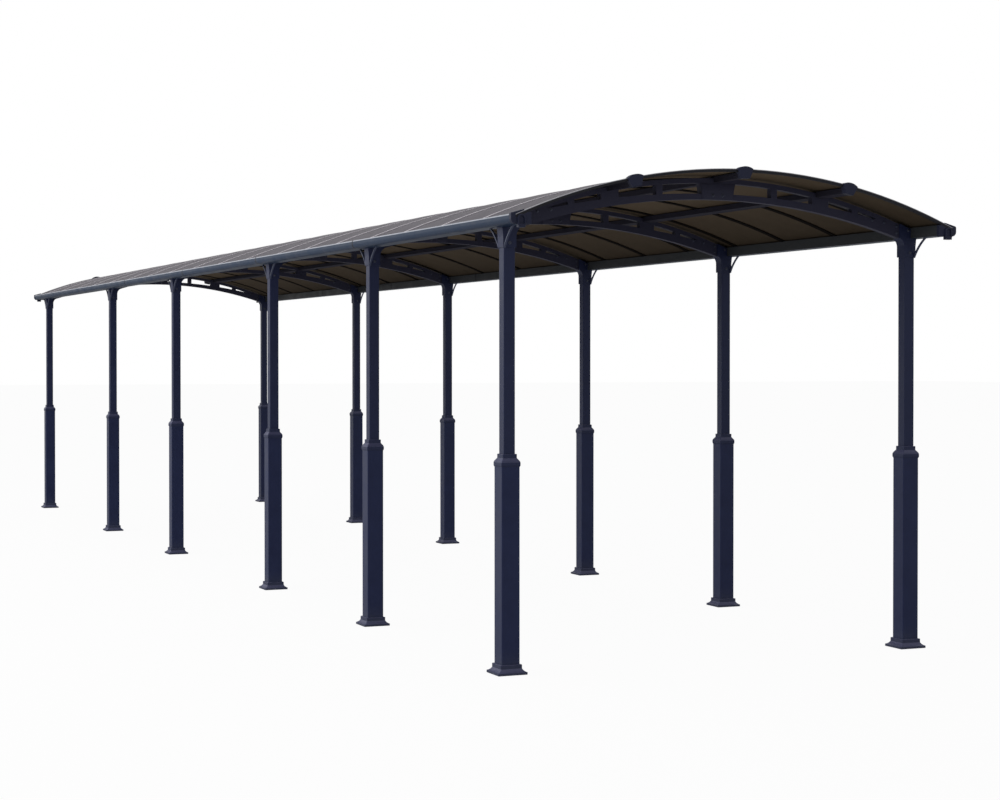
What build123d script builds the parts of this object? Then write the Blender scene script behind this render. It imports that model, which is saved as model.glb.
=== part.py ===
from build123d import *
import math
import os

# Arched open-frame carport. Twelve slim posts in two rows carry six arched trusses,
# three purlins and a vaulted roof of tinted sheets held between thin glazing bars.
# X runs across, Y along from the front end to the back, Z up from the ground.
# The origin is the middle of the plan at ground level. All lengths are millimetres.

# Plan
post_rows_apart = 2350.0
first_bay = 1990.0
second_bay = 2030.0
third_bay = 2710.0
fourth_bay = 2380.0
fifth_bay = 3130.0
roof_overhang = 300.0
purlin_offset = 620.0

# Roof vault: one circle across the carport, measured on top of the sheets
crown_height = 2512.0
roof_radius = 3146.0
sheet_thickness = 6.0
panel_clearance = 1.5

# Glazing bars hold the sheets between a top flange, a web and a wider seat below. From the front
# the sheets come in three runs of one width each, after a shorter front sheet.
bar_width = 26.0
bar_seat_width = 44.0
bar_web = 4.0
bar_top = 3.0
bar_seat = 6.0
front_sheet = 470.0
near_sheet = 565.0
near_sheet_count = 3
middle_sheet = 620.0
middle_sheet_count = 3
far_sheet = 750.0
far_sheet_count = 11

# Edge trims close the sheets at the front and back
trim_width = 20.0
trim_rise = 4.0

# Purlins and their domed end caps
purlin_width = 44.0
purlin_depth = 30.0
cap_head_width = 84.0
cap_head_rim = 5.0
cap_foot_width = 49.0
cap_lap = 2.5
cap_nose = 14.0
cap_shoulder = 0.5
cap_dome = 12.0
cap_rounding = 3.0

# Trusses: a flatter lower edge than the vault, windows that taper towards a plain plate at each
# end, and webs that each stand at a share of the space between the plates on either side.
truss_thickness = 40.0
truss_clearance = 9.0
truss_depth = 110.0
lower_edge_radius = 3700.0
upper_chord_depth = 25.0
lower_chord_depth = 30.0
window_tip_height = 4.3
centre_plate_low = 184.0
centre_plate_top = 210.0
web_width = 36.0
web_shares = [0.5, 0.56]
purlin_seat_width = 100.0
end_plate_length = 150.0

# Posts: a slim upper tube that stands inside a wider lower sleeve
post_width = 61.0
post_wall = 3.0
post_corner = 4.0
sleeve_width = 97.0
sleeve_wall = 3.0
sleeve_corner = 5.0
sleeve_height = 1025.0

# Collar on top of the sleeve
collar_ring_width = 104.0
collar_ring_height = 30.0
collar_ring_edge = 8.0
collar_ring_bevel = 3.0
collar_shoulder_height = 14.0
collar_neck_width = 76.0
collar_neck_height = 20.0
collar_neck_bevel = 1.5
collar_corner = 4.0

# Foot cover round the bottom of the sleeve
foot_width = 157.0
foot_plinth_height = 12.0
foot_skirt_height = 18.0
foot_band_width = 115.0
foot_band_height = 19.0
foot_edge = 1.5
foot_corner = 4.0
skirt_steps = 5
skirt_hollow_share = 0.55

# Gutter beams along both eaves
gutter_overhang = 106.0
gutter_width = 102.0
gutter_height = 47.0
gutter_wall = 10.0
gutter_lip = 16.0
gutter_lip_rise = 7.0
gutter_trough = 27.0
gutter_belly_radius = 26.0
gutter_lip_radius = 10.0
sheet_edge_gap = 6.0
gutter_section_count = 6
gutter_first_section = 2050.0
gutter_section = 2030.0
gutter_joint = 2.0

# Gutter end caps with a short outlet below
end_cap_thickness = 24.0
end_cap_lap = 3.0
end_cap_hood = 70.0
end_cap_hood_rise = 5.0
end_cap_boss = 10.0
end_cap_rounding = 3.0
boss_width = 42.0
boss_drop = 6.0
boss_rim = 7.0
boss_recess = 7.0
outlet_width = 36.0
outlet_length = 26.0
outlet_drop = 11.0

# Head brackets join post, truss and gutter
bracket_wall = 5.0
bracket_drop = 100.0
bracket_straight = 55.0
bracket_reach = 60.0
bracket_outer_flare = 5.0

# Knee braces from each post head along the eave
knee_reach = 104.0
knee_height = 98.0
knee_width = 10.0
knee_thickness = 7.0
knee_turn = 28.0
knee_offset = 28.0

# Seats of pieces that fit over or rest on one another
seat_gap = 0.3

# Derived places
post_x = post_rows_apart / 2
bay_lengths = [first_bay, second_bay, third_bay, fourth_bay, fifth_bay]
truss_span = sum(bay_lengths)
truss_ys = [sum(bay_lengths[:count]) - truss_span / 2 for count in range(len(bay_lengths) + 1)]
roof_front = truss_ys[0] - roof_overhang
roof_back = truss_ys[-1] + roof_overhang
vault_z = crown_height - roof_radius
sheet_under = roof_radius - sheet_thickness
bar_under = sheet_under - bar_seat
truss_top = bar_under - truss_clearance
lower_crown = vault_z + truss_top - truss_depth
window_crown = lower_crown + lower_chord_depth
gutter_outer = post_x + gutter_overhang
gutter_inner = gutter_outer - gutter_width
sheet_edge = gutter_outer - gutter_lip - sheet_edge_gap


def arc_height(radius, x):
    """Height of a circle about the vault's axis at a distance from the middle."""
    return vault_z + math.sqrt(radius ** 2 - x ** 2)


def arch_height(radius, crown, x):
    """Height at a distance from the middle of an arch given by its radius and its crown."""
    return crown - radius + math.sqrt(radius ** 2 - x ** 2)


lip_top = arc_height(roof_radius, sheet_edge) + gutter_lip_rise
gutter_low = lip_top - gutter_height
trough_floor = lip_top - gutter_trough
truss_end = post_x - bracket_reach
window_end = truss_end - end_plate_length
window_drop = window_crown + window_tip_height - arc_height(truss_top - upper_chord_depth, window_end)
window_low_radius = (window_end ** 2 + window_drop ** 2) / (2 * window_drop)
bracket_low = gutter_low - bracket_drop
collar_top = sleeve_height + collar_ring_height + collar_shoulder_height + collar_neck_height


def vault_arc(radius, start_x, end_x):
    """Arc of a circle about the vault's axis between two distances from the middle."""
    middle_x = (start_x + end_x) / 2
    points = [(x, arc_height(radius, x)) for x in (start_x, middle_x, end_x)]
    return ThreePointArc(*points)


def closed_face(lines):
    """A flat face bounded by lines and arcs that meet end to end."""
    outline = Curve() + lines
    return make_face(outline.edges())


def across(face, front, back):
    """Stand a face drawn in X and Z upright and thicken it from front to back."""
    return extrude(Plane.XZ.offset(-back) * face, amount=back - front)


def along(face, left, right):
    """Stand a face drawn in Y and Z upright and thicken it from left to right."""
    return extrude(Plane.YZ.offset(left) * face, amount=right - left)


def vault_strip(inner_radius, outer_radius, half_span, front, back):
    """A strip of the vault between two radii, cut upright at both eaves."""
    upper = vault_arc(outer_radius, -half_span, half_span)
    lower = vault_arc(inner_radius, -half_span, half_span)
    ends = [Line(upper @ 0, lower @ 0), Line(upper @ 1, lower @ 1)]
    return across(closed_face([upper, lower] + ends), front, back)


def upright(width, bottom, top):
    """A square upright between two heights, centred on its own axis."""
    height = top - bottom
    return Pos(0, 0, bottom + height / 2) * Box(width, width, height)


def round_upright(width, corner, bottom, top):
    """A square upright with rounded corners between two heights."""
    return extrude(Pos(0, 0, bottom) * RectangleRounded(width, width, corner), amount=top - bottom)


def moulded_ring(sections, corner):
    """Moulding through rounded squares given as pairs of width and height."""
    faces = [Pos(0, 0, level) * RectangleRounded(width, width, corner) for width, level in sections]
    return loft(faces, ruled=True)


def mirrored(solid, side):
    """The piece itself on the right, its mirror image on the left."""
    return solid if side == "right" else mirror(solid, about=Plane.YZ)


def save(name, solids):
    """Write one node, made of one solid or of several that stay apart."""
    export_step(solids[0] if len(solids) == 1 else Compound(children=solids), f"parts/{name}.step")


def post():
    """Slim square tube from the ground to the underside of the gutter."""
    tube = round_upright(post_width, post_corner, 0, gutter_low)
    return tube - upright(post_width - 2 * post_wall, 0, gutter_low)


def sleeve():
    """Wider square tube round the lower half of a post."""
    tube = round_upright(sleeve_width, sleeve_corner, 0, sleeve_height)
    return tube - upright(sleeve_width - 2 * sleeve_wall, 0, sleeve_height)


def collar():
    """Beaded ring, sloping shoulder and neck that close the sleeve round the post."""
    ring_top = sleeve_height + collar_ring_height
    shoulder_top = ring_top + collar_shoulder_height
    ring_low_width = collar_ring_width - 2 * collar_ring_bevel
    moulding = moulded_ring([
        (ring_low_width, sleeve_height),
        (collar_ring_width, sleeve_height + collar_ring_edge),
        (collar_ring_width, ring_top - collar_ring_edge),
        (ring_low_width, ring_top),
        (collar_neck_width, shoulder_top),
        (collar_neck_width, collar_top - collar_neck_bevel),
        (collar_neck_width - 2 * collar_neck_bevel, collar_top),
    ], collar_corner)
    return moulding - upright(post_width + 2 * seat_gap, sleeve_height, collar_top)


def foot():
    """Thin plinth, hollow-curved skirt and upright band round the sleeve."""
    skirt_top = foot_plinth_height + foot_skirt_height
    band_top = skirt_top + foot_band_height
    skirt_reach = (foot_width - foot_band_width) / 2
    sections = [(foot_width - 2 * foot_edge, 0), (foot_width, foot_edge), (foot_width, foot_plinth_height)]
    for step in range(1, skirt_steps + 1):
        run = step / skirt_steps
        turn = math.pi / 2 * run
        inward = run + skirt_hollow_share * (math.sin(turn) - run)
        below = 1 - run + skirt_hollow_share * (math.cos(turn) - 1 + run)
        sections.append((foot_width - 2 * skirt_reach * inward, skirt_top - foot_skirt_height * below))
    sections.append((foot_band_width, band_top - foot_edge))
    sections.append((foot_band_width - 2 * foot_edge, band_top))
    return moulded_ring(sections, foot_corner) - upright(sleeve_width + 2 * seat_gap, 0, band_top)


def head_bracket():
    """Socket on a post's top that flares inwards to the truss and out under the gutter."""
    inner_face = post_x - post_width / 2 - bracket_wall
    outer_face = post_x + post_width / 2 + bracket_wall
    flare_start = (inner_face, bracket_low + bracket_straight)
    flare_end = (truss_end, arch_height(lower_edge_radius, lower_crown, truss_end))
    flare = TangentArc(flare_start, flare_end, tangent=(0, 1))
    top = vault_arc(truss_top, truss_end, gutter_inner)
    rim = Polyline(
        top @ 1,
        (gutter_inner, gutter_low),
        (outer_face + bracket_outer_flare, gutter_low),
        (outer_face, bracket_low + bracket_straight),
        (outer_face, bracket_low),
        (inner_face, bracket_low),
        flare_start,
    )
    face = closed_face([flare, Line(flare_end, top @ 0), top, rim])
    half = post_width / 2 + bracket_wall
    bore = Pos(post_x, 0, 0) * upright(post_width + 2 * seat_gap, bracket_low, gutter_low)
    return across(face, -half, half) - bore


def knee_brace():
    """Curved strap from the bracket's back face up to the underside of the gutter."""
    start_y = post_width / 2 + bracket_wall
    start_z = gutter_low - knee_height
    radius = math.hypot(knee_reach, knee_height) / (2 * math.sin(math.radians(knee_turn / 2)))
    slope = math.atan2(knee_height, knee_reach) + math.radians(knee_turn / 2)
    centre_y = start_y + radius * math.sin(slope)
    centre_z = start_z - radius * math.cos(slope)

    def strap_edge(edge_radius):
        low = math.acos((start_y - centre_y) / edge_radius)
        high = math.asin((gutter_low - centre_z) / edge_radius)
        turns = (low, (low + math.pi - high) / 2, math.pi - high)
        spokes = [(edge_radius * math.cos(turn), edge_radius * math.sin(turn)) for turn in turns]
        return ThreePointArc(*[(centre_y + y, centre_z + z) for y, z in spokes])

    upper = strap_edge(radius + knee_thickness / 2)
    lower = strap_edge(radius - knee_thickness / 2)
    ends = [Line(upper @ 0, lower @ 0), Line(upper @ 1, lower @ 1)]
    strap = closed_face([upper, lower] + ends)
    middle = post_x + knee_offset
    return along(strap, middle - knee_width / 2, middle + knee_width / 2)


def truss():
    """Arched plate truss with a centre plate, webs, purlin seats, end plates and purlin notches."""
    upper = vault_arc(truss_top, -truss_end, truss_end)
    lower = arch_arc(lower_edge_radius, lower_crown, -truss_end, truss_end)
    ends = [Line(upper @ 0, lower @ 0), Line(upper @ 1, lower @ 1)]
    face = closed_face([upper, lower] + ends)
    web_half = web_width / 2
    plate_top = centre_plate_top / 2
    seat_start = purlin_offset - purlin_seat_width / 2
    seat_end = purlin_offset + purlin_seat_width / 2
    first_web = plate_top + web_shares[0] * (seat_start - plate_top)
    second_web = seat_end + web_shares[1] * (window_end - seat_end)
    face -= truss_windows(centre_plate_low / 2, plate_top, first_web - web_half)
    for start, end in [
        (first_web + web_half, seat_start),
        (seat_end, second_web - web_half),
        (second_web + web_half, window_end),
    ]:
        face -= truss_windows(start, start, end)
    plate = across(face, -truss_thickness / 2, truss_thickness / 2)
    for offset in (-purlin_offset, 0, purlin_offset):
        plate -= on_slope(crown_notch(), offset)
    return plate


def arch_arc(radius, crown, start_x, end_x):
    """Arc of an arch given by its radius and its crown between two distances from the middle."""
    middle_x = (start_x + end_x) / 2
    points = [(x, arch_height(radius, crown, x)) for x in (start_x, middle_x, end_x)]
    return ThreePointArc(*points)


def truss_windows(start_low, start_top, end):
    """One opening between the chords and its mirror image."""
    upper = vault_arc(truss_top - upper_chord_depth, start_top, end)
    lower = arch_arc(window_low_radius, window_crown, start_low, end)
    ends = [Line(lower @ 0, upper @ 0), Line(lower @ 1, upper @ 1)]
    face = closed_face([lower, upper] + ends)
    return face + mirror(face, about=Plane.YZ)


def crown_notch():
    """Room that a truss leaves for a purlin lying in its top edge, drawn at the crown."""
    low = vault_z + bar_under - purlin_depth - 2 * seat_gap
    middle = Pos(0, 0, low + purlin_depth / 2)
    return middle * Box(purlin_width + 2 * seat_gap, 2 * truss_thickness, purlin_depth)


def gutter_outline(lap, with_trough):
    """Section of the right gutter beam, grown by a lap, with or without its trough."""
    inner = gutter_inner - lap
    outer = gutter_outer + lap
    low = gutter_low - lap
    lip = lip_top + lap
    wall_top = arc_height(bar_under, gutter_inner + gutter_wall) - seat_gap
    rim = [(outer, lip), (outer, low), (inner, low), (inner, wall_top)]
    if with_trough:
        rim += [
            (gutter_inner + gutter_wall, wall_top),
            (gutter_inner + gutter_wall, trough_floor),
            (gutter_outer - gutter_lip, trough_floor),
            (gutter_outer - gutter_lip, lip),
        ]
    else:
        hood = outer - end_cap_hood
        rim += [(hood, wall_top), (hood, arc_height(roof_radius + trim_rise + end_cap_hood_rise, hood))]
    face = make_face(Polyline(*rim, close=True).edges())
    belly = face.vertices().sort_by_distance((outer, low))[0]
    face = fillet(belly, gutter_belly_radius)
    return fillet(face.vertices().sort_by_distance((outer, lip))[0], gutter_lip_radius)


def gutter_sections():
    """Lengths of gutter beam end to end, with a narrow joint between them."""
    first_seam = truss_ys[0] + gutter_first_section
    seams = [first_seam + gutter_section * count for count in range(gutter_section_count - 1)]
    starts = [roof_front + end_cap_thickness] + [place + gutter_joint / 2 for place in seams]
    ends = [place - gutter_joint / 2 for place in seams] + [roof_back - end_cap_thickness]
    section = gutter_outline(0, True)
    return [across(section, start, end) for start, end in zip(starts, ends)]


def front_end_cap():
    """Moulded gutter cap with a hood over the edge trim, an arched boss and an outlet stub."""
    plate = across(gutter_outline(end_cap_lap, False), roof_front, roof_front + end_cap_thickness)
    plate = fillet(plate.faces().sort_by(Axis.Y)[0].edges(), end_cap_rounding)
    plate -= vault_strip(
        bar_under - seat_gap, roof_radius + trim_rise + seat_gap, sheet_edge + seat_gap,
        roof_front, roof_front + end_cap_thickness)
    boss_x = gutter_outer - gutter_width / 2
    plate_low = gutter_low - end_cap_lap
    boss_low = plate_low - boss_drop
    boss_high = lip_top - end_cap_rounding - boss_width / 2
    boss_face = Pos(boss_x, (boss_low + boss_high) / 2) * Rectangle(boss_width, boss_high - boss_low)
    boss_face += Pos(boss_x, boss_high) * Circle(boss_width / 2)
    boss = across(boss_face, roof_front - end_cap_boss, roof_front)
    boss = fillet(boss.faces().sort_by(Axis.Y)[0].edges(), end_cap_rounding)
    recess_width = boss_width - 2 * boss_rim
    recess_face = Pos(boss_x, (boss_low + boss_high) / 2) * Rectangle(recess_width, boss_high - boss_low)
    recess_face += Pos(boss_x, boss_high) * Circle(recess_width / 2)
    boss -= across(recess_face, roof_front - end_cap_boss, roof_front - end_cap_boss + boss_recess)
    stub_height = boss_drop + outlet_drop
    stub = Pos(boss_x, roof_front - end_cap_boss + outlet_length / 2, plate_low - stub_height / 2)
    return plate + boss + stub * Box(outlet_width, outlet_length, stub_height)


def on_slope(solid, offset):
    """Turn a piece drawn at the crown about the vault's axis to its place on the slope."""
    angle = math.degrees(math.asin(offset / roof_radius))
    return Pos(0, 0, vault_z) * Rot(0, angle, 0) * Pos(0, 0, -vault_z) * solid


def crown_purlin():
    """Straight square beam under the sheets, drawn at the crown."""
    top = vault_z + bar_under - seat_gap
    middle = Pos(0, (roof_front + roof_back) / 2, top - purlin_depth / 2)
    return middle * Box(purlin_width, roof_back - roof_front, purlin_depth)


def crown_cap(beam, trim):
    """Mushroom-shaped cap over a purlin's front end, its domed head lapping over the edge trim."""
    half = cap_head_width / 2
    foot_half = cap_foot_width / 2
    low = vault_z + bar_under - purlin_depth - seat_gap - cap_lap
    side_top = crown_height + trim_rise + cap_shoulder
    dome = ThreePointArc((-half, side_top), (0, side_top + cap_dome), (half, side_top))
    rim_low = side_top - cap_head_rim
    right_side = [(half, rim_low), (foot_half, low)]
    left_side = [(-foot_half, low), (-half, rim_low)]
    sides = Polyline(dome @ 1, *right_side, *left_side, dome @ 0)
    body = across(closed_face([dome, sides]), roof_front - cap_nose, roof_front + trim_width)
    body = fillet(body.faces().sort_by(Axis.Y)[0].edges(), cap_rounding)
    return body - beam - trim


def glazing_bar(place):
    """Arched bar with a top flange, a web between the sheets and a seat under them."""
    front = place - bar_width / 2
    back = place + bar_width / 2
    top = vault_strip(roof_radius + seat_gap, roof_radius + bar_top, sheet_edge, front, back)
    low = vault_strip(
        bar_under, sheet_under - seat_gap, sheet_edge,
        place - bar_seat_width / 2, place + bar_seat_width / 2)
    web = vault_strip(
        sheet_under - seat_gap, roof_radius + seat_gap, sheet_edge,
        place - bar_web / 2, place + bar_web / 2)
    return top + web + low


os.makedirs("parts", exist_ok=True)

# Posts with their sleeves, collars, feet, head brackets and knee braces
upright_pieces = {"sleeves": sleeve(), "collars": collar(), "feet": foot()}
one_post = post()
one_bracket = head_bracket()
one_knee = knee_brace()
for side in ("left", "right"):
    row_x = post_x if side == "right" else -post_x
    for number, y in enumerate(truss_ys, start=1):
        save(f"{side}_post_{number}", [Pos(row_x, y, 0) * one_post])
    for name, piece in upright_pieces.items():
        save(f"{side}_{name}", [Pos(row_x, y, 0) * piece for y in truss_ys])
    bracket = mirrored(one_bracket, side)
    save(f"{side}_head_brackets", [Pos(0, y, 0) * bracket for y in truss_ys])
    back_knee = mirrored(one_knee, side)
    knees = [back_knee, mirror(back_knee, about=Plane.XZ)]
    save(f"{side}_knee_braces", [Pos(0, y, 0) * knee for y in truss_ys for knee in knees])

# Trusses
one_truss = truss()
for number, y in enumerate(truss_ys, start=1):
    save(f"truss_{number}", [Pos(0, y, 0) * one_truss])

# Gutters and their end caps
right_gutter = gutter_sections()
right_front_cap = front_end_cap()
right_caps = [right_front_cap, mirror(right_front_cap, about=Plane.XZ)]
for side in ("left", "right"):
    save(f"{side}_gutter", [mirrored(section, side) for section in right_gutter])
    save(f"{side}_gutter_end_caps", [mirrored(cap, side) for cap in right_caps])

# Edge trims, purlins and purlin caps
front_trim = vault_strip(bar_under, roof_radius + trim_rise, sheet_edge, roof_front, roof_front + trim_width)
save("front_edge_trim", [front_trim])
save("back_edge_trim", [mirror(front_trim, about=Plane.XZ)])
beam = crown_purlin()
purlin_places = {"left_purlin": -purlin_offset, "ridge_purlin": 0, "right_purlin": purlin_offset}
front_caps = [on_slope(crown_cap(beam, front_trim), offset) for offset in purlin_places.values()]
for name, offset in purlin_places.items():
    save(name, [on_slope(beam, offset)])
save("purlin_end_caps", front_caps + [mirror(cap, about=Plane.XZ) for cap in front_caps])

# Roof sheets and the glazing bars between them
sheet_widths = [front_sheet] + [near_sheet] * near_sheet_count
sheet_widths += [middle_sheet] * middle_sheet_count + [far_sheet] * far_sheet_count
bar_places = [roof_front + sum(sheet_widths[:count + 1]) for count in range(len(sheet_widths))]
save("glazing_bars", [glazing_bar(place) for place in bar_places])
panel_fronts = [roof_front + trim_width + seat_gap]
panel_fronts += [place + bar_web / 2 + panel_clearance for place in bar_places]
panel_backs = [place - bar_web / 2 - panel_clearance for place in bar_places]
panel_backs += [roof_back - trim_width - seat_gap]
panels = [
    vault_strip(sheet_under, roof_radius, sheet_edge, front, back)
    for front, back in zip(panel_fronts, panel_backs)
]
save("front_roof_panel", panels[:1])
panel_middles = [(front + back) / 2 for front, back in zip(panel_fronts, panel_backs)]
bay_ends = truss_ys[1:-1] + [roof_back]
first = 1
for number, bay_end in enumerate(bay_ends, start=1):
    after = sum(middle < bay_end for middle in panel_middles)
    save(f"roof_panels_{number}", panels[first:after])
    first = after
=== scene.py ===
import math

import bpy
from mathutils import Matrix, Vector


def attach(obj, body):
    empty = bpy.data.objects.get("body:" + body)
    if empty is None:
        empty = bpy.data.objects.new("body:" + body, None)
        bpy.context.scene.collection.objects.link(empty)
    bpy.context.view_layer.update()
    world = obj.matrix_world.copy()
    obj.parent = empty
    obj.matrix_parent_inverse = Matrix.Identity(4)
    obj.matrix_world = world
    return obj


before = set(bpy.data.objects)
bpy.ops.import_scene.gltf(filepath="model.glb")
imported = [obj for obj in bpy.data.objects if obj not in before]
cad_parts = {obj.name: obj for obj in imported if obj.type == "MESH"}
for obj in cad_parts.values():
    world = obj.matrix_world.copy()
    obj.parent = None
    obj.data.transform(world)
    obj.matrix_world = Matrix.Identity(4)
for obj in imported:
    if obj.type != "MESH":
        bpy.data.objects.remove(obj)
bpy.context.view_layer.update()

# Posts and the wide sleeves round their lower halves.
# Square aluminium tubes with rounded corners, cut to length and sprayed with dark blue powder
# coat, which leaves a fine orange peel and faint cloudy patches; a little dust gathers low down.
POST_BLUE = (0.0130, 0.0180, 0.051, 1)
POST_BLUE_WORN = (0.0175, 0.0230, 0.060, 1)
SLEEVE_BLUE = (0.0095, 0.0150, 0.053, 1)
SLEEVE_BLUE_WORN = (0.0145, 0.0215, 0.066, 1)
CLOUD_SCALE = 7.0
CLOUDS_FROM = 0.35
CLOUDS_TO = 0.70
CLOUDS_DULL = 0.14
PEEL_DEPTH = 0.0004
PAVING_DUST = (0.11, 0.115, 0.125, 1)
DUST_MOST = 0.30
SPECK_SCALE = 46.0
SIDES = (("left", -1), ("right", 1))
FRAME_NUMBERS = range(1, 7)


def join(tree, source, target):
    """Links a socket to an input, or sets a plain value on that input."""
    if isinstance(source, bpy.types.NodeSocket):
        tree.links.new(source, target)
    else:
        target.default_value = source


def added(tree, kind, feeds=None, **settings):
    """Adds a node with its settings; its inputs are fed by sockets or plain values."""
    node = tree.nodes.new(kind)
    for name, setting in settings.items():
        setattr(node, name, setting)
    for name, source in (feeds or {}).items():
        join(tree, source, node.inputs[name])
    return node


def maths(tree, operation, *terms):
    """Math node on sockets or plain numbers; gives its output."""
    node = added(tree, "ShaderNodeMath", operation=operation)
    for source, target in zip(terms, node.inputs):
        join(tree, source, target)
    return node.outputs["Value"]


def mixed(tree, factor, first, second, blend_type="MIX"):
    """Mix of two colours; gives its output."""
    feeds = {"Factor": factor, "A": first, "B": second}
    node = added(tree, "ShaderNodeMix", feeds, data_type="RGBA", blend_type=blend_type)
    return node.outputs["Result"]


def node_group(name, inputs, outputs):
    """Empty shader node group with named sockets, and its input and output nodes."""
    group = bpy.data.node_groups.new(name, "ShaderNodeTree")
    for way, sockets in (("INPUT", inputs), ("OUTPUT", outputs)):
        for socket, kind in sockets.items():
            group.interface.new_socket(name=socket, in_out=way, socket_type=f"NodeSocket{kind}")
    return group, group.nodes.new("NodeGroupInput"), group.nodes.new("NodeGroupOutput")


def sprayed_coat():
    """Node group for a sprayed or moulded skin: cloudy colour, low dust, roughness and fine peel."""
    group, given, out = node_group(
        "sprayed_coat",
        {"Colour": "Color", "Worn colour": "Color", "Dust height": "Float", "Peel size": "Float",
         "Least roughness": "Float"},
        {"Colour": "Color", "Roughness": "Float", "Height": "Float"})
    place = added(group, "ShaderNodeTexCoord").outputs["Object"]
    clouds = added(group, "ShaderNodeTexNoise", {
        "Vector": place, "Scale": CLOUD_SCALE, "Detail": 5.0, "Roughness": 0.62})
    cloudy = added(group, "ShaderNodeMapRange", {
        "Value": clouds.outputs["Fac"], "From Min": CLOUDS_FROM, "From Max": CLOUDS_TO}).outputs["Result"]
    worn = mixed(group, cloudy, given.outputs["Colour"], given.outputs["Worn colour"])
    height = added(group, "ShaderNodeSeparateXYZ", {"Vector": place})
    near_ground = added(group, "ShaderNodeMapRange", {
        "Value": height.outputs["Z"], "From Min": 0.0, "From Max": given.outputs["Dust height"],
        "To Min": DUST_MOST, "To Max": 0.0}, interpolation_type="SMOOTHSTEP")
    specks = added(group, "ShaderNodeTexNoise", {"Vector": place, "Scale": SPECK_SCALE, "Detail": 6.0})
    dust = maths(group, "MULTIPLY", near_ground.outputs["Result"], specks.outputs["Fac"])
    roughness = maths(group, "MULTIPLY_ADD", cloudy, CLOUDS_DULL, given.outputs["Least roughness"])
    peel = added(group, "ShaderNodeTexNoise", {
        "Vector": place, "Scale": given.outputs["Peel size"], "Detail": 1.5})
    join(group, mixed(group, dust, worn, PAVING_DUST), out.inputs["Colour"])
    join(group, roughness, out.inputs["Roughness"])
    join(group, peel.outputs["Fac"], out.inputs["Height"])
    return group


COAT_GROUP = sprayed_coat()


def coated(name, colour, worn, peel_size, roughness, shine, bump, dust_height=0.02):
    """Principled material that takes its skin from the sprayed coat group."""
    material = bpy.data.materials.new(name)
    material.use_nodes = True
    tree = material.node_tree
    shader = tree.nodes["Principled BSDF"]
    shader.inputs["Specular IOR Level"].default_value = shine
    skin = added(tree, "ShaderNodeGroup", {
        "Colour": colour, "Worn colour": worn, "Dust height": dust_height, "Peel size": peel_size,
        "Least roughness": roughness}, node_tree=COAT_GROUP, name="skin")
    relief = added(tree, "ShaderNodeBump", {
        "Strength": bump, "Distance": PEEL_DEPTH, "Height": skin.outputs["Height"]}, name="relief")
    join(tree, skin.outputs["Colour"], shader.inputs["Base Color"])
    join(tree, skin.outputs["Roughness"], shader.inputs["Roughness"])
    join(tree, relief.outputs["Normal"], shader.inputs["Normal"])
    return material


def paint(material, *names):
    """Gives a material to CAD nodes by name."""
    for name in names:
        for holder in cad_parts[name].material_slots:
            holder.material = material


post_coat = coated(
    "post_coat", POST_BLUE, POST_BLUE_WORN, peel_size=700.0, roughness=0.40, shine=0.16, bump=0.25)
sleeve_coat = coated(
    "sleeve_coat", SLEEVE_BLUE, SLEEVE_BLUE_WORN, peel_size=620.0, roughness=0.38, shine=0.19, bump=0.28,
    dust_height=0.14)
for side, sign in SIDES:
    paint(post_coat, *[f"{side}_post_{number}" for number in FRAME_NUMBERS])
    paint(sleeve_coat, f"{side}_sleeves")

# Foot covers and collars.
# Injection-moulded plastic in the frame's colour, with a fine moulded grain; the foot cover is a
# band, a hollow skirt and a thin plinth, and the collar a bead with a sloping shoulder.
FOOT_BLUE = (0.017, 0.022, 0.060, 1)
FOOT_BLUE_WORN = (0.023, 0.029, 0.070, 1)
FOOT_PAINTED_HIGHLIGHT = (0.070, 0.074, 0.135, 1)
COLLAR_BLUE = (0.013, 0.018, 0.052, 1)
COLLAR_BLUE_WORN = (0.018, 0.024, 0.061, 1)
COLLAR_PAINTED_HIGHLIGHT = (0.058, 0.062, 0.120, 1)
LEDGE_STEEP = 0.12
LEDGE_FLAT = 0.50
MOULD_GRAIN = 1300.0


def painted_top_highlight():
    """Node group that paints a paler colour on faces that look upwards, a painted highlight for light
    falling from above.
    """
    group, given, out = node_group(
        "painted_top_highlight", {"Colour": "Color", "Highlight colour": "Color"}, {"Colour": "Color"})
    facing = added(group, "ShaderNodeNewGeometry")
    upward = added(group, "ShaderNodeSeparateXYZ", {"Vector": facing.outputs["Normal"]})
    amount = added(group, "ShaderNodeMapRange", {
        "Value": upward.outputs["Z"], "From Min": LEDGE_STEEP, "From Max": LEDGE_FLAT},
        interpolation_type="SMOOTHSTEP")
    top_highlight = mixed(group, amount.outputs["Result"], given.outputs["Colour"], given.outputs["Highlight colour"])
    join(group, top_highlight, out.inputs["Colour"])
    return group


TOP_HIGHLIGHT_GROUP = painted_top_highlight()


def highlighted_on_top(material, highlight_colour):
    """Lays the painted highlight on upward faces over a coated material."""
    tree = material.node_tree
    top_highlight = added(tree, "ShaderNodeGroup", {"Highlight colour": highlight_colour}, node_tree=TOP_HIGHLIGHT_GROUP)
    join(tree, tree.nodes["skin"].outputs["Colour"], top_highlight.inputs["Colour"])
    join(tree, top_highlight.outputs["Colour"], tree.nodes["Principled BSDF"].inputs["Base Color"])


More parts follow.
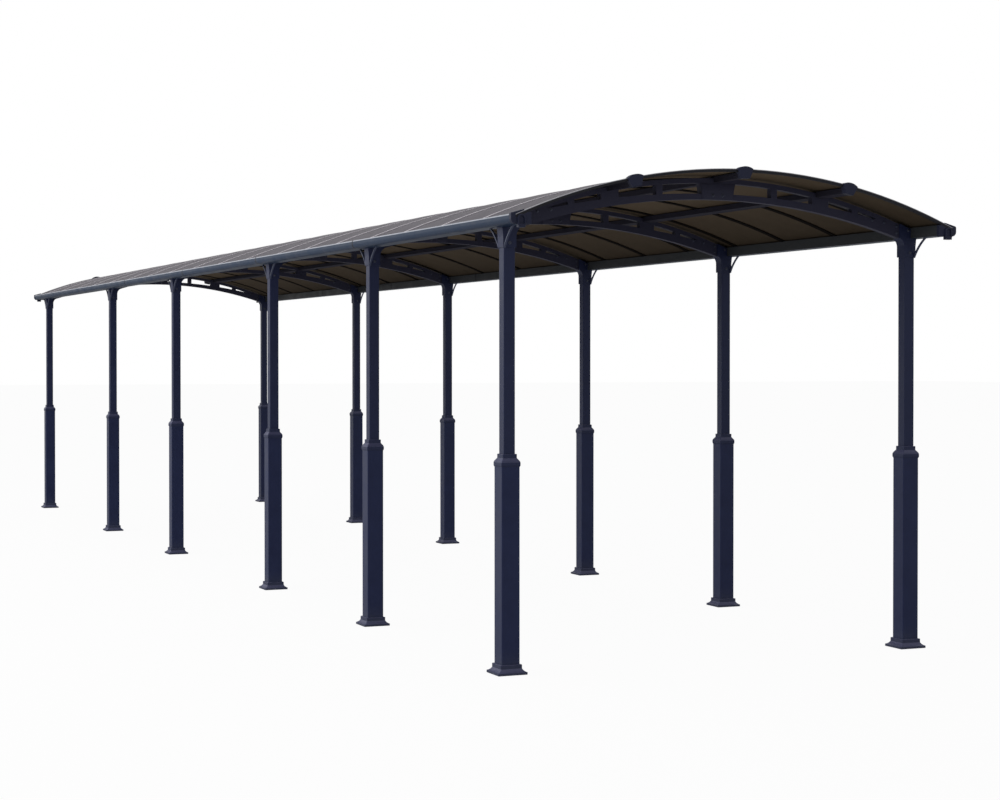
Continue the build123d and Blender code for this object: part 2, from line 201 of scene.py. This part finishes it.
# Upward faces of the foot covers and collars get a paler blue: a painted highlight where light from above
# falls on the ledges.
foot_plastic = coated(
    "foot_plastic", FOOT_BLUE, FOOT_BLUE_WORN, peel_size=MOULD_GRAIN, roughness=0.46, shine=0.22, bump=0.35,
    dust_height=0.10)
highlighted_on_top(foot_plastic, FOOT_PAINTED_HIGHLIGHT)
paint(foot_plastic, "left_feet", "right_feet")
collar_plastic = coated(
    "collar_plastic", COLLAR_BLUE, COLLAR_BLUE_WORN, peel_size=MOULD_GRAIN, roughness=0.44, shine=0.20,
    bump=0.35)
highlighted_on_top(collar_plastic, COLLAR_PAINTED_HIGHLIGHT)
paint(collar_plastic, "left_collars", "right_collars")

# Head brackets, the thin knee straps beside them, and their bolts.
# Cast aluminium shoes that hold the gutter beam on the post, sprayed like the posts; each strap
# is a bent flat bar. Dome-headed bolts go through each shoe, one at the post and one at the beam.
STRAP_BLUE = (0.034, 0.042, 0.080, 1)
STRAP_BLUE_WORN = (0.048, 0.056, 0.098, 1)
BOLT_BLUE = (0.026, 0.031, 0.056, 1)
BOLT_BLUE_WORN = (0.045, 0.050, 0.078, 1)
BOLT_SIDES = 20
BOLT_WASHER = 0.0085
BOLT_WASHER_THICK = 0.0016
BOLT_HEAD = 0.0060
BOLT_DOME = (0.0022, 0.0018, 0.0010)
BOLT_DOME_SHARES = (0.93, 0.74, 0.42)
BRACKET_HALF = 0.0355
BRACKET_BOLTS = ((1.175, 2.131), (1.163, 2.251))
TRUSS_YS = (-6.12, -4.13, -2.10, 0.61, 2.99, 6.12)


def deselect():
    """Leaves object mode with nothing selected."""
    if bpy.context.mode != "OBJECT":
        bpy.ops.object.mode_set(mode="OBJECT")
    bpy.ops.object.select_all(action="DESELECT")


def facing_faces(piece, direction, least=0.99):
    """Selects in edit mode the faces that look one way."""
    bpy.ops.object.mode_set(mode="OBJECT")
    for edge in piece.data.edges:
        edge.select = False
    for vertex in piece.data.vertices:
        vertex.select = False
    for face in piece.data.polygons:
        face.select = face.normal.dot(Vector(direction)) > least
    bpy.ops.object.mode_set(mode="EDIT")
    bpy.ops.mesh.select_mode(type="FACE")


def drawn_out(x=0.0, y=0.0, z=0.0):
    """Extrudes what is selected."""
    bpy.ops.mesh.extrude_region_move(TRANSFORM_OT_translate={"value": (x, y, z)})


def settle(piece, smooth_below=0.6):
    """Applies place and turn to the mesh and shades it smooth up to an angle."""
    deselect()
    piece.select_set(True)
    bpy.context.view_layer.objects.active = piece
    bpy.ops.object.transform_apply(location=True, rotation=True, scale=True)
    bpy.ops.object.shade_smooth_by_angle(angle=smooth_below)


def dome_bolt(name):
    """One bolt head on its washer, standing up from the origin along +Z."""
    deselect()
    bpy.ops.mesh.primitive_cylinder_add(
        vertices=BOLT_SIDES, radius=BOLT_WASHER, depth=BOLT_WASHER_THICK,
        location=(0, 0, BOLT_WASHER_THICK / 2))
    bolt = bpy.context.active_object
    bolt.name = name
    bpy.ops.object.transform_apply(location=True, rotation=True, scale=True)
    facing_faces(bolt, (0, 0, 1))
    bpy.ops.mesh.inset(thickness=BOLT_WASHER - BOLT_HEAD)
    for rise, share in zip(BOLT_DOME, BOLT_DOME_SHARES):
        drawn_out(z=rise)
        bpy.ops.transform.resize(value=(share, share, 1))
    settle(bolt)
    return bolt


def laid_out(name, model, places, material):
    """Copies a model to places given as matrices and joins the copies to one piece of the frame."""
    copies = []
    for place in places:
        copy = bpy.data.objects.new(name, model.data.copy())
        bpy.context.scene.collection.objects.link(copy)
        copy.data.transform(place)
        copies.append(copy)
    deselect()
    for copy in copies:
        copy.select_set(True)
    bpy.context.view_layer.objects.active = copies[0]
    bpy.ops.object.join()
    piece = bpy.context.active_object
    piece.name = name
    piece.data.materials.clear()
    piece.data.materials.append(material)
    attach(piece, "root")


def bolt_place(point, outward):
    """Matrix that sets a bolt on a point, looking outward."""
    turn = Vector((0, 0, 1)).rotation_difference(Vector(outward)).to_matrix().to_4x4()
    return Matrix.Translation(Vector(point)) @ turn


bracket_coat = coated(
    "bracket_coat", POST_BLUE, POST_BLUE_WORN, peel_size=520.0, roughness=0.42, shine=0.16, bump=0.32)
paint(bracket_coat, "left_head_brackets", "right_head_brackets")
strap_coat = coated(
    "strap_coat", STRAP_BLUE, STRAP_BLUE_WORN, peel_size=520.0, roughness=0.40, shine=0.22, bump=0.25)
paint(strap_coat, "left_knee_braces", "right_knee_braces")
bolt_paint = coated(
    "bolt_paint", BOLT_BLUE, BOLT_BLUE_WORN, peel_size=900.0, roughness=0.32, shine=0.28, bump=0.15)
bolt_model = dome_bolt("bolt_model")
for side, sign in SIDES:
    places = []
    for y in TRUSS_YS:
        for x, z in BRACKET_BOLTS:
            for facing in (-1, 1):
                places.append(bolt_place((sign * x, y + facing * BRACKET_HALF, z), (0, facing, 0)))
    laid_out(f"{side}_bracket_bolts", bolt_model, places, bolt_paint)

# Gutter beams along both eaves and their moulded end caps.
# Extruded aluminium in lengths of about two metres with a dark gasket at each joint, paler than the
# posts; the inner face is painted a lighter grey as painted light on its shaded side, and the rolled lip
# carries a pale painted highlight; the caps are moulded plastic with an outlet stub.
GUTTER_BLUE = (0.011, 0.024, 0.053, 1)
GUTTER_BLUE_WORN = (0.016, 0.031, 0.063, 1)
LIP_PAINTED_HIGHLIGHT = (0.40, 0.42, 0.47, 1)
LIP_FROM = 2.2475
LIP_TO = 2.2505
LIP_INNER = 1.266
INNER_PAINTED_LIGHT = (0.030, 0.033, 0.036, 1)
INNER_FACE = 1.1795
JOINT_DARK = (0.004, 0.005, 0.009, 1)
JOINT_HALF = 0.009
FIRST_SEAM = -4.07
SEAMS_APART = 2.03
SEAMS_REACH = 5.0
CAP_BLUE = (0.0105, 0.0125, 0.032, 1)
CAP_BLUE_WORN = (0.0150, 0.0180, 0.040, 1)
LINES_STRETCH = (420.0, 0.8, 420.0)
LINES_DEPTH = 0.0003


def drawn_lines():
    """Node group for the faint lines that the die leaves along an extruded bar."""
    group, given, out = node_group("drawn_lines", {"Stretch": "Vector"}, {"Height": "Float"})
    place = added(group, "ShaderNodeTexCoord").outputs["Object"]
    along = added(group, "ShaderNodeMapping", {"Vector": place, "Scale": given.outputs["Stretch"]})
    lines = added(group, "ShaderNodeTexNoise", {
        "Vector": along.outputs["Vector"], "Scale": 1.0, "Detail": 2.0})
    join(group, lines.outputs["Fac"], out.inputs["Height"])
    return group


LINES_GROUP = drawn_lines()


def extruded(material, strength):
    """Adds the drawn lines under a coated material's peel."""
    tree = material.node_tree
    lines = added(tree, "ShaderNodeGroup", {"Stretch": LINES_STRETCH}, node_tree=LINES_GROUP)
    relief = added(tree, "ShaderNodeBump", {
        "Strength": strength, "Distance": LINES_DEPTH, "Height": lines.outputs["Height"]})
    join(tree, relief.outputs["Normal"], tree.nodes["relief"].inputs["Normal"])


gutter_coat = coated(
    "gutter_coat", GUTTER_BLUE, GUTTER_BLUE_WORN, peel_size=600.0, roughness=0.40, shine=0.12, bump=0.2)
extruded(gutter_coat, strength=0.25)
tree = gutter_coat.node_tree
place = added(tree, "ShaderNodeTexCoord").outputs["Object"]
point = added(tree, "ShaderNodeSeparateXYZ", {"Vector": place}).outputs
across = maths(tree, "ABSOLUTE", point["X"])
# The inner face of each gutter gets a lighter neutral grey: painted light on its shaded side.
inside = maths(tree, "LESS_THAN", across, INNER_FACE)
inner_painted_light_colour = mixed(tree, inside, tree.nodes["skin"].outputs["Colour"], INNER_PAINTED_LIGHT)
# A pale band along the outer top of the rolled lip: a painted highlight standing in for the sky reflected
# there.
lip_highlight_band = added(tree, "ShaderNodeMapRange", {
    "Value": point["Z"], "From Min": LIP_FROM, "From Max": LIP_TO}).outputs["Result"]
outside = maths(tree, "GREATER_THAN", across, LIP_INNER)
lip_highlight_colour = mixed(tree, maths(tree, "MULTIPLY", lip_highlight_band, outside), inner_painted_light_colour, LIP_PAINTED_HIGHLIGHT)
from_first_seam = maths(tree, "SUBTRACT", point["Y"], FIRST_SEAM)
from_seam = maths(tree, "PINGPONG", from_first_seam, SEAMS_APART / 2)
at_joint = maths(tree, "LESS_THAN", from_seam, JOINT_HALF)
between_ends = maths(tree, "LESS_THAN", maths(tree, "ABSOLUTE", point["Y"]), SEAMS_REACH)
joint_colour = mixed(tree, maths(tree, "MULTIPLY", at_joint, between_ends), lip_highlight_colour, JOINT_DARK)
join(tree, joint_colour, tree.nodes["Principled BSDF"].inputs["Base Color"])
paint(gutter_coat, "left_gutter", "right_gutter")
cap_plastic = coated(
    "cap_plastic", CAP_BLUE, CAP_BLUE_WORN, peel_size=MOULD_GRAIN, roughness=0.46, shine=0.18, bump=0.35)
paint(cap_plastic, "left_gutter_end_caps", "right_gutter_end_caps", "purlin_end_caps")

# Joint trays in the gutter troughs.
# A thin folded aluminium tray, bedded in sealant, bridges each joint between two lengths of
# gutter, so that the joint doesn't drip.
SEAM_YS = [FIRST_SEAM + SEAMS_APART * count for count in range(5)]
TROUGH_INNER = 1.1895
TROUGH_OUTER = 1.2645
TROUGH_FLOOR = 2.2292
TRAY_LENGTH = 0.084
TRAY_RISE = 0.018
TRAY_WALL = 0.0015
TRAY_ROUND = 0.0005


def picked_points(piece, wanted):
    """Selects in edit mode the points that pass a test, and the edges between them."""
    bpy.ops.object.mode_set(mode="EDIT")
    bpy.ops.mesh.select_mode(type="VERT")
    bpy.ops.mesh.select_all(action="DESELECT")
    bpy.ops.object.mode_set(mode="OBJECT")
    for vertex in piece.data.vertices:
        vertex.select = wanted(vertex.co)
    bpy.ops.object.mode_set(mode="EDIT")
    bpy.ops.mesh.select_mode(type="EDGE")


def outward_faces():
    """Turns all faces of the piece in edit mode outwards."""
    bpy.ops.mesh.select_all(action="SELECT")
    bpy.ops.mesh.normals_make_consistent(inside=False)


def rounded(piece, width):
    """Rounds the sharp edges of the active piece."""
    edge_round = piece.modifiers.new("edge_round", "BEVEL")
    edge_round.width = width
    edge_round.segments = 2
    bpy.ops.object.modifier_apply(modifier="edge_round")


def joint_tray(name):
    """Open tray lying in the right gutter's trough, drawn about y = 0."""
    deselect()
    middle = (TROUGH_INNER + TROUGH_OUTER) / 2
    bpy.ops.mesh.primitive_plane_add(size=1.0, location=(middle, 0, TROUGH_FLOOR))
    tray = bpy.context.active_object
    tray.name = name
    tray.scale = (TROUGH_OUTER - TROUGH_INNER, TRAY_LENGTH, 1)
    bpy.ops.object.transform_apply(location=True, rotation=True, scale=True)
    for outward in (1, -1):
        picked_points(tray, lambda point: outward * (point.x - middle) > 0)
        drawn_out(z=TRAY_RISE)
    outward_faces()
    bpy.ops.object.mode_set(mode="OBJECT")
    wall = tray.modifiers.new("wall", "SOLIDIFY")
    wall.thickness = TRAY_WALL
    wall.offset = 1.0 if tray.data.polygons[0].normal.z > 0 else -1.0
    bpy.ops.object.modifier_apply(modifier="wall")
    rounded(tray, TRAY_ROUND)
    settle(tray)
    return tray


tray_coat = coated(
    "tray_coat", GUTTER_BLUE, GUTTER_BLUE_WORN, peel_size=600.0, roughness=0.30, shine=0.25, bump=0.2)
extruded(tray_coat, strength=0.2)
tray_model = joint_tray("tray_model")
for side, sign in SIDES:
    turn = Matrix.Rotation(0 if sign > 0 else math.pi, 4, "Z")
    places = [Matrix.Translation((0, y, 0)) @ turn for y in SEAM_YS]
    laid_out(f"{side}_gutter_joint_trays", tray_model, places, tray_coat)
bpy.data.objects.remove(tray_model)

# Arched trusses.
# Flat aluminium plate trusses under each frame, sprayed dark blue; a pressed splice plate is bolted
# on both faces at the crown, and four bolts at each end hold the truss to the head bracket.
TRUSS_BLUE = (0.029, 0.029, 0.053, 1)
TRUSS_BLUE_WORN = (0.036, 0.036, 0.061, 1)
TRUSS_HALF = 0.020
PLATE_LOW = 2.3845
PLATE_HIGH = 2.4610
PLATE_LOW_HALF = 0.090
PLATE_HIGH_HALF = 0.100
PLATE_THICK = 0.003
PLATE_RIM = 0.0022
PLATE_PRESSED = 0.0006
PLATE_ROUND = 0.0008
CROWN_BOLTS = ((-0.028, 2.402), (0.028, 2.402))
END_BOLTS = ((0.946, 2.302), (1.020, 2.292), (1.098, 2.273), (1.098, 2.237))


def splice_plate(name):
    """Pressed plate, wider at its top, on the front face of a truss drawn about y = 0."""
    deselect()
    middle = (PLATE_LOW + PLATE_HIGH) / 2
    bpy.ops.mesh.primitive_plane_add(
        size=1.0, location=(0, -TRUSS_HALF, middle), rotation=(math.pi / 2, 0, 0))
    plate = bpy.context.active_object
    plate.name = name
    plate.scale = (2 * PLATE_LOW_HALF, PLATE_HIGH - PLATE_LOW, 1)
    bpy.ops.object.transform_apply(location=True, rotation=True, scale=True)
    picked_points(plate, lambda point: point.z > middle)
    bpy.ops.transform.resize(
        value=(PLATE_HIGH_HALF / PLATE_LOW_HALF, 1, 1), center_override=(0, -TRUSS_HALF, PLATE_HIGH))
    bpy.ops.mesh.select_all(action="SELECT")
    drawn_out(y=-PLATE_THICK)
    outward_faces()
    facing_faces(plate, (0, -1, 0))
    bpy.ops.mesh.inset(thickness=PLATE_RIM)
    drawn_out(y=-PLATE_PRESSED)
    bpy.ops.object.mode_set(mode="OBJECT")
    rounded(plate, PLATE_ROUND)
    settle(plate)
    return plate


truss_coat = coated(
    "truss_coat", TRUSS_BLUE, TRUSS_BLUE_WORN, peel_size=560.0, roughness=0.52, shine=0.14, bump=0.28)
paint(truss_coat, *[f"truss_{number}" for number in FRAME_NUMBERS])
plate_model = splice_plate("crown_plate")
plate_face = TRUSS_HALF + PLATE_THICK + PLATE_PRESSED
for number, y in zip(FRAME_NUMBERS, TRUSS_YS):
    places = [Matrix.Translation((0, y, 0)) @ Matrix.Rotation(angle, 4, "Z") for angle in (0, math.pi)]
    laid_out(f"truss_{number}_splice_plates", plate_model, places, truss_coat)
    places = []
    for facing in (-1, 1):
        for x, z in CROWN_BOLTS:
            places.append(bolt_place((x, y + facing * plate_face, z), (0, facing, 0)))
        for x, z in END_BOLTS:
            for side, sign in SIDES:
                places.append(bolt_place((sign * x, y + facing * TRUSS_HALF, z), (0, facing, 0)))
    laid_out(f"truss_{number}_bolts", bolt_model, places, bolt_paint)
bpy.data.objects.remove(plate_model)
bpy.data.objects.remove(bolt_model)

# Purlins along the vault.
# Extruded aluminium box sections, one at the ridge and one on each slope, that lie in the notches
# of the trusses and carry the sheets; sprayed like the trusses, with a duller coat.
PURLIN_BLUE = (0.022, 0.021, 0.033, 1)
PURLIN_BLUE_WORN = (0.027, 0.026, 0.039, 1)
purlin_coat = coated(
    "purlin_coat", PURLIN_BLUE, PURLIN_BLUE_WORN, peel_size=560.0, roughness=0.74, shine=0.08, bump=0.22)
extruded(purlin_coat, strength=0.18)
paint(purlin_coat, "left_purlin", "ridge_purlin", "right_purlin")

# Glazing bars and the edge trims at both ends of the roof.
# Extruded bars in H section that hold the edges of two sheets, dark, with a pale painted highlight on top;
# the trims close the last sheets at both ends, dark, with a thin pale painted highlight along their top
# edge.
BAR_TOP_PAINTED_HIGHLIGHT = (0.74, 0.70, 0.75, 1)
BAR_UNDER = (0.0065, 0.0050, 0.0045, 1)
BAR_SPLIT = 3.1455
TRIM_TOP_PAINTED_HIGHLIGHT = (0.40, 0.40, 0.43, 1)
TRIM_UNDER = (0.008, 0.008, 0.012, 1)
TRIM_SPLIT = 3.1464
SPLIT_BLUR = 0.0005
VAULT_AXIS_Z = -0.634
STREAK_SCALE = 30.0
STREAKS_LEAST = 0.85


def vault_faces():
    """Node group that parts the weather side from the underside by the reach from the vault's axis."""
    group, given, out = node_group(
        "vault_faces",
        {"Top colour": "Color", "Under colour": "Color", "Split": "Float", "Top roughness": "Float",
         "Under roughness": "Float"},
        {"Colour": "Color", "Roughness": "Float"})
    place = added(group, "ShaderNodeTexCoord").outputs["Object"]
    centred = added(group, "ShaderNodeMapping", {
        "Vector": place, "Location": (0, 0, -VAULT_AXIS_Z), "Scale": (1, 0, 1)})
    reach = added(group, "ShaderNodeVectorMath", {"Vector": centred.outputs["Vector"]}, operation="LENGTH")
    split = given.outputs["Split"]
    up = added(group, "ShaderNodeMapRange", {
        "Value": reach.outputs["Value"], "From Min": split,
        "From Max": maths(group, "ADD", split, SPLIT_BLUR)})
    streaks = added(group, "ShaderNodeTexNoise", {"Vector": place, "Scale": STREAK_SCALE, "Detail": 4.0})
    fade = added(group, "ShaderNodeMapRange", {"Value": streaks.outputs["Fac"], "To Min": STREAKS_LEAST})
    amount = maths(group, "MULTIPLY", up.outputs["Result"], fade.outputs["Result"])
    colour = mixed(group, amount, given.outputs["Under colour"], given.outputs["Top colour"])
    roughness = added(group, "ShaderNodeMapRange", {
        "Value": amount, "To Min": given.outputs["Under roughness"],
        "To Max": given.outputs["Top roughness"]})
    join(group, colour, out.inputs["Colour"])
    join(group, roughness.outputs["Result"], out.inputs["Roughness"])
    return group


FACES_GROUP = vault_faces()


def two_faced(name, top, under, worn, split, top_roughness, under_roughness, shine):
    """Coated material with another colour and roughness on the weather side."""
    material = coated(name, under, worn, peel_size=700.0, roughness=0.40, shine=shine, bump=0.2)
    tree = material.node_tree
    shader = tree.nodes["Principled BSDF"]
    faces = added(tree, "ShaderNodeGroup", {
        "Top colour": top, "Under colour": tree.nodes["skin"].outputs["Colour"], "Split": split,
        "Top roughness": top_roughness, "Under roughness": under_roughness},
        node_tree=FACES_GROUP, name="faces")
    join(tree, faces.outputs["Colour"], shader.inputs["Base Color"])
    join(tree, faces.outputs["Roughness"], shader.inputs["Roughness"])
    return material


# The bars' pale top colour is a painted highlight over their dark colour.
bar_colour_and_highlight = two_faced(
    "bar_colour_and_highlight", BAR_TOP_PAINTED_HIGHLIGHT, BAR_UNDER, BAR_UNDER, BAR_SPLIT, top_roughness=0.40, under_roughness=0.95,
    shine=0.03)
paint(bar_colour_and_highlight, "glazing_bars")
# The thin pale band along the trims' top edge is a painted highlight over their dark colour.
trim_colour_and_highlight = two_faced(
    "trim_colour_and_highlight", TRIM_TOP_PAINTED_HIGHLIGHT, TRIM_UNDER, TRIM_UNDER, TRIM_SPLIT, top_roughness=0.36, under_roughness=0.60,
    shine=0.20)
paint(trim_colour_and_highlight, "front_edge_trim", "back_edge_trim")

# Roof sheets.
# Twin-wall polycarbonate tinted bronze, cold-bent over the purlins, with fine ribs from eave to eave;
# the weather side has a greyish skin, and the underside shows the tint, with painted light that makes it
# paler at the crown and painted shade that darkens it towards the eaves.
SHEET_TOP = (0.046, 0.037, 0.056, 1)
SHEET_UNDER = (0.053, 0.0385, 0.0240, 1)
SHEET_UNDER_WORN = (0.060, 0.0440, 0.0275, 1)
SHEET_SPLIT = 3.1430
SHEET_CLEAR_SHARE = 0.12
SHEET_IOR = 1.49
RIBS_PER_METRE = 95.0
WAVES_AT_SCALE_ONE = 3.1831
RIB_STRENGTH = 0.12
RIB_DEPTH = 0.0005
CROWN_PAINTED_LIGHT = 2.2
EAVE_PAINTED_SHADE = 0.8
EAVE_X = 1.26
sheet = two_faced(
    "bronze_sheet", SHEET_TOP, SHEET_UNDER, SHEET_UNDER_WORN, SHEET_SPLIT, top_roughness=0.42,
    under_roughness=0.95, shine=0.058)
tree = sheet.node_tree
shader = tree.nodes["Principled BSDF"]
shader.inputs["Transmission Weight"].default_value = SHEET_CLEAR_SHARE
shader.inputs["IOR"].default_value = SHEET_IOR
place = added(tree, "ShaderNodeTexCoord").outputs["Object"]
point = added(tree, "ShaderNodeSeparateXYZ", {"Vector": place}).outputs
# The underside colour is multiplied up towards the crown and down towards the eaves: painted light and
# painted shade.
painted_light_across = added(tree, "ShaderNodeMapRange", {
    "Value": maths(tree, "ABSOLUTE", point["X"]), "From Max": EAVE_X,
    "To Min": CROWN_PAINTED_LIGHT, "To Max": EAVE_PAINTED_SHADE})
painted_light_under = mixed(tree, 1.0, tree.nodes["skin"].outputs["Colour"], painted_light_across.outputs["Result"], "MULTIPLY")
join(tree, painted_light_under, tree.nodes["faces"].inputs["Under colour"])
ribs = added(
    tree, "ShaderNodeTexWave", {"Vector": place, "Scale": RIBS_PER_METRE / WAVES_AT_SCALE_ONE},
    wave_type="BANDS", bands_direction="Y")
rib_relief = added(tree, "ShaderNodeBump", {
    "Strength": RIB_STRENGTH, "Distance": RIB_DEPTH, "Height": ribs.outputs["Fac"]})
join(tree, rib_relief.outputs["Normal"], tree.nodes["relief"].inputs["Normal"])
paint(sheet, "front_roof_panel", *[f"roof_panels_{number}" for number in range(1, 6)])

# Studio floor and surroundings.
# A wide white floor that shows only a soft shadow, and white surroundings that light the part with
# an even grey.
FLOOR_SIDE = 180.0
FLOOR_PLACE = (0, 30.0, -0.001)
FLOOR_PALE = (0.80, 0.80, 0.80, 1)
FLOOR_WHITE_SHARE = 0.955
AROUND_GREY = (0.50, 0.50, 0.51, 1)
AROUND_WHITE = (1, 1, 1, 1)
deselect()
bpy.ops.mesh.primitive_plane_add(size=FLOOR_SIDE, location=FLOOR_PLACE)
floor = bpy.context.active_object
floor.name = "studio_floor"
floor_white = bpy.data.materials.new("floor_white")
floor_white.use_nodes = True
tree = floor_white.node_tree
tree.nodes.clear()
rays = added(tree, "ShaderNodeLightPath").outputs
matt = added(tree, "ShaderNodeBsdfDiffuse", {"Color": FLOOR_PALE})
white = added(tree, "ShaderNodeEmission")
blend = added(tree, "ShaderNodeMixShader", {
    "Fac": maths(tree, "MULTIPLY", rays["Is Camera Ray"], FLOOR_WHITE_SHARE)})
join(tree, matt.outputs["BSDF"], blend.inputs[1])
join(tree, white.outputs["Emission"], blend.inputs[2])
added(tree, "ShaderNodeOutputMaterial", {"Surface": blend.outputs["Shader"]})
floor.data.materials.append(floor_white)

world = bpy.data.worlds.new("studio_world")
bpy.context.scene.world = world
world.use_nodes = True
tree = world.node_tree
tree.nodes.clear()
rays = added(tree, "ShaderNodeLightPath").outputs
mirrored = maths(tree, "MAXIMUM", rays["Is Camera Ray"], rays["Is Glossy Ray"])
grey = added(tree, "ShaderNodeBackground", {"Color": AROUND_GREY})
white = added(tree, "ShaderNodeBackground", {"Color": AROUND_WHITE})
blend = added(tree, "ShaderNodeMixShader", {
    "Fac": maths(tree, "MAXIMUM", mirrored, rays["Is Transmission Ray"])})
join(tree, grey.outputs["Background"], blend.inputs[1])
join(tree, white.outputs["Background"], blend.inputs[2])
added(tree, "ShaderNodeOutputWorld", {"Surface": blend.outputs["Shader"]})

# Key light and camera.
# One large soft light along the left side, and the camera at the photograph's viewing angle.
KEY_PLACE = (-8.0, -1.0, 4.4)
KEY_LONG = 17.0
KEY_HIGH = 6.0
KEY_WATTS = 560.0
KEY_TILT = math.radians(68)
CAMERA_PLACE = (-5.081, -15.178, 1.544)
CAMERA_DIP = 0.0116
CAMERA_TURN = -0.4031
CAMERA_LENS = 71.77
deselect()
bpy.ops.object.light_add(type="AREA", location=KEY_PLACE)
key = bpy.context.active_object
key.name = "key_light"
key.data.shape = "RECTANGLE"
key.data.size = KEY_LONG
key.data.size_y = KEY_HIGH
key.data.energy = KEY_WATTS
key.rotation_euler = (KEY_TILT, 0, -math.pi / 2)

deselect()
bpy.ops.object.camera_add(location=CAMERA_PLACE, rotation=(math.pi / 2 - CAMERA_DIP, 0, CAMERA_TURN))
camera = bpy.context.active_object
camera.name = "photo_camera"
camera.data.sensor_width = 36.0
camera.data.lens = CAMERA_LENS
camera.data.shift_x = 0.001
camera.data.shift_y = -0.015
camera.data.clip_end = 400.0
bpy.context.scene.camera = camera
bpy.context.scene.view_settings.view_transform = "Standard"
